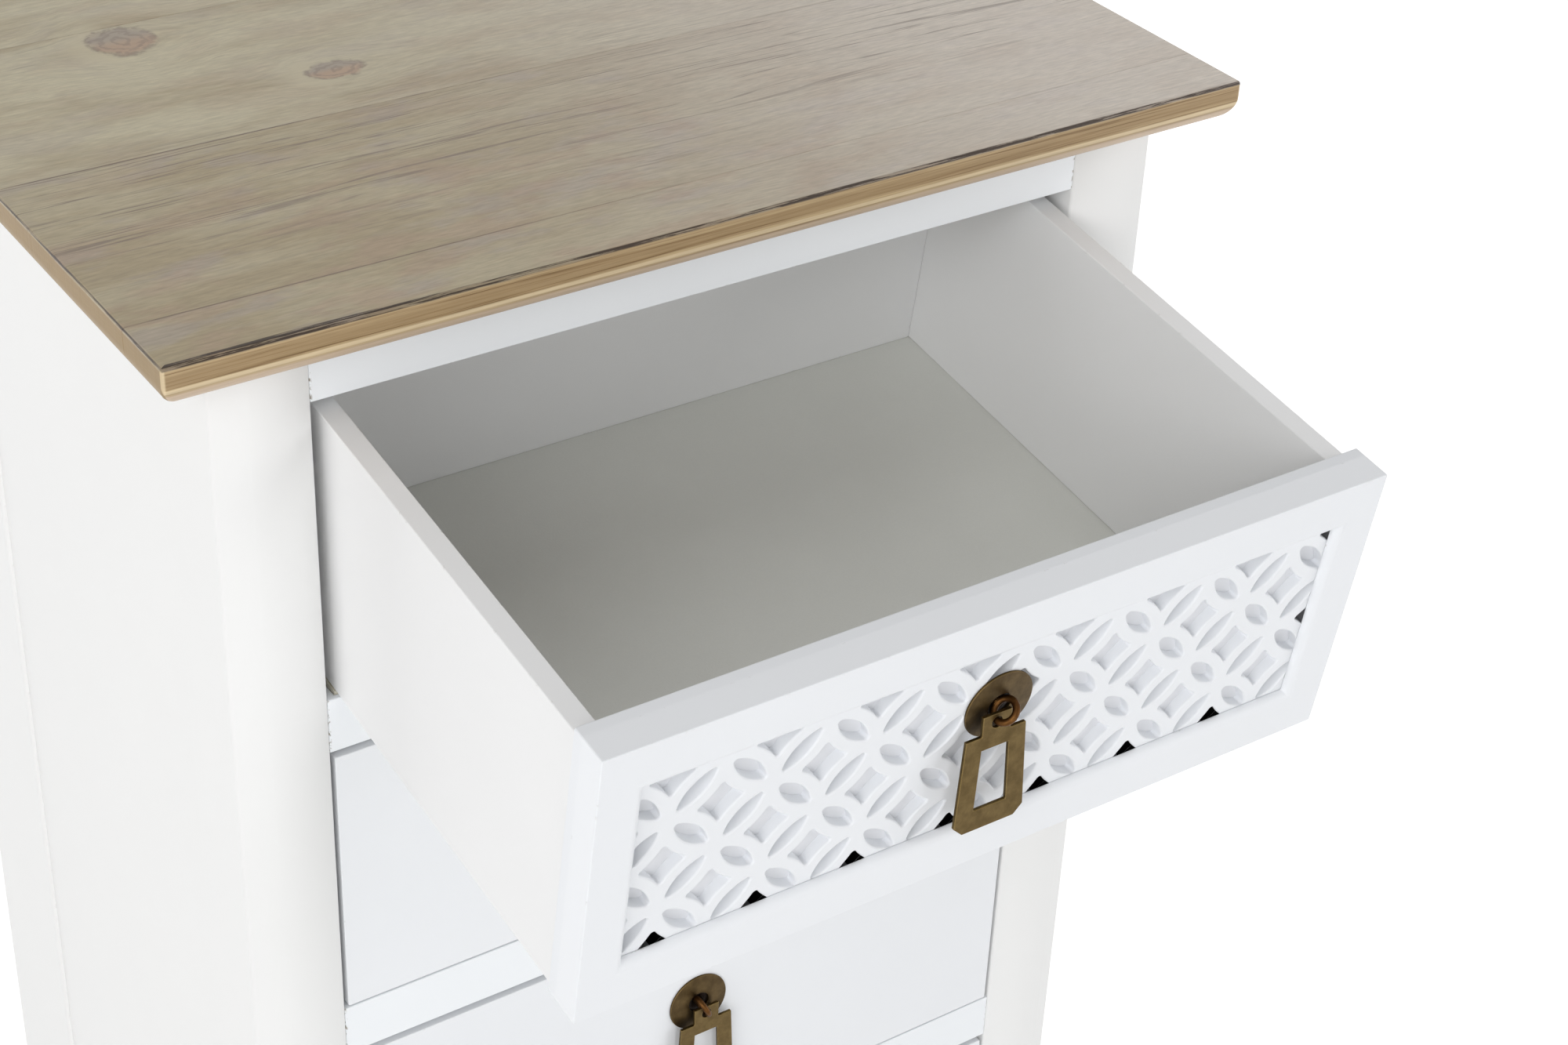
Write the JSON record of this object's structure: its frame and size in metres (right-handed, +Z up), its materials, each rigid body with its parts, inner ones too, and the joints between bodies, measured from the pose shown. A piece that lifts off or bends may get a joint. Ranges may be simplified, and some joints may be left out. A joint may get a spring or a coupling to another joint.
{
  "type": "chest of drawers",
  "caption": "Narrow chest of drawers with a plank top, white case, pierced fretwork on the tipped-out top drawer, plain drawers below and hanging brass pulls.",
  "frame": {"origin": "on the floor, under the middle of the top board", "axes": "+X to the right of the front, +Y to the back, +Z up; the drawers open towards -Y"},
  "size_m": [0.48, 0.5244, 0.78],
  "materials": {
    "top_wood": "weathered boards, satin wax",
    "white_paint": "satin white paint, worn at the edges",
    "bare_wood": "bare",
    "back_board": "thin board, white paint",
    "nylon": "smooth",
    "steel": "plain",
    "brass": "aged",
    "bronze": "aged, coppery"
  },
  "bodies": {
    "case": {"back_panel": "back_board", "back_rails": "bare_wood", "bottom_rail": "white_paint", "divider_rail_1": "white_paint", "divider_rail_2": "white_paint", "divider_rail_3": "white_paint", "drawer_runners": "bare_wood", "drawer_stops": "bare_wood", "fixed_glides": "nylon", "foot_glides": "nylon", "front_post_left": "white_paint", "front_post_right": "white_paint", "rear_post_left": "white_paint", "rear_post_right": "white_paint", "side_panel_left": "white_paint", "side_panel_right": "white_paint", "top_cleats": "bare_wood", "top_plank_1": "top_wood", "top_plank_2": "top_wood", "top_plank_3": "top_wood", "top_plank_4": "top_wood", "top_rail": "white_paint", "top_screws": "steel"},
    "rocking_glides": {"rocking_glides": "nylon"},
    "drawer_1": {"drawer_1_back": "white_paint", "drawer_1_bottom": "white_paint", "drawer_1_fretwork": "white_paint", "drawer_1_fretwork_backing": "white_paint", "drawer_1_front_board": "white_paint", "drawer_1_front_frame": "white_paint", "drawer_1_rosette": "brass", "drawer_1_side_left": "white_paint", "drawer_1_side_right": "white_paint", "drawer_1_split_pin": "bronze"},
    "pendant_1": {"drawer_1_pendant": "brass"},
    "drawer_2": {"drawer_2_back": "white_paint", "drawer_2_bottom": "white_paint", "drawer_2_front": "white_paint", "drawer_2_rosette": "brass", "drawer_2_side_left": "white_paint", "drawer_2_side_right": "white_paint", "drawer_2_split_pin": "bronze"},
    "pendant_2": {"drawer_2_pendant": "brass"},
    "drawer_3": {"drawer_3_back": "white_paint", "drawer_3_bottom": "white_paint", "drawer_3_front": "white_paint", "drawer_3_rosette": "brass", "drawer_3_side_left": "white_paint", "drawer_3_side_right": "white_paint", "drawer_3_split_pin": "bronze"},
    "pendant_3": {"drawer_3_pendant": "brass"},
    "drawer_4": {"drawer_4_back": "white_paint", "drawer_4_bottom": "white_paint", "drawer_4_front": "white_paint", "drawer_4_rosette": "brass", "drawer_4_side_left": "white_paint", "drawer_4_side_right": "white_paint", "drawer_4_split_pin": "bronze"},
    "pendant_4": {"drawer_4_pendant": "brass"}
  },
  "joints": [
    {"name": "drawer_1_tip", "type": "hinge", "parent": "case", "child": "rocking_glides", "pos_m": [0, -0.141, 0.6015], "axis": [1, 0, 0], "range_deg": [-8.1, 0]},
    {"name": "drawer_1_slide", "type": "slide", "parent": "rocking_glides", "child": "drawer_1", "axis": [0, -0.99, -0.1409], "range_m": [-0.183, 0]},
    {"name": "drawer_2_slide", "type": "slide", "parent": "case", "child": "drawer_2", "axis": [0, -1, 0], "range_m": [0, 0.183]},
    {"name": "drawer_3_slide", "type": "slide", "parent": "case", "child": "drawer_3", "axis": [0, -1, 0], "range_m": [0, 0.183]},
    {"name": "drawer_4_slide", "type": "slide", "parent": "case", "child": "drawer_4", "axis": [0, -1, 0], "range_m": [0, 0.183]},
    {"name": "pendant_1_swing", "type": "hinge", "parent": "drawer_1", "child": "pendant_1", "pos_m": [0, -0.34304, 0.65426], "axis": [-0.7071, -0.0996, 0.7001], "range_deg": [-9, 80]},
    {"name": "pendant_2_swing", "type": "hinge", "parent": "drawer_2", "child": "pendant_2", "pos_m": [0, -0.15459, 0.5237], "axis": [-1, 0, 0], "range_deg": [-3, 85]},
    {"name": "pendant_3_swing", "type": "hinge", "parent": "drawer_3", "child": "pendant_3", "pos_m": [0, -0.15459, 0.3652], "axis": [-0.9063, 0, -0.4226], "range_deg": [-3, 85]},
    {"name": "pendant_4_swing", "type": "hinge", "parent": "drawer_4", "child": "pendant_4", "pos_m": [0, -0.15459, 0.2067], "axis": [-1, 0, 0], "range_deg": [-3, 85]}
  ],
  "couplings": [
    {"joint": "drawer_1_tip", "follows": "drawer_1_slide", "rad_per_m": 0.77252}
  ]
}
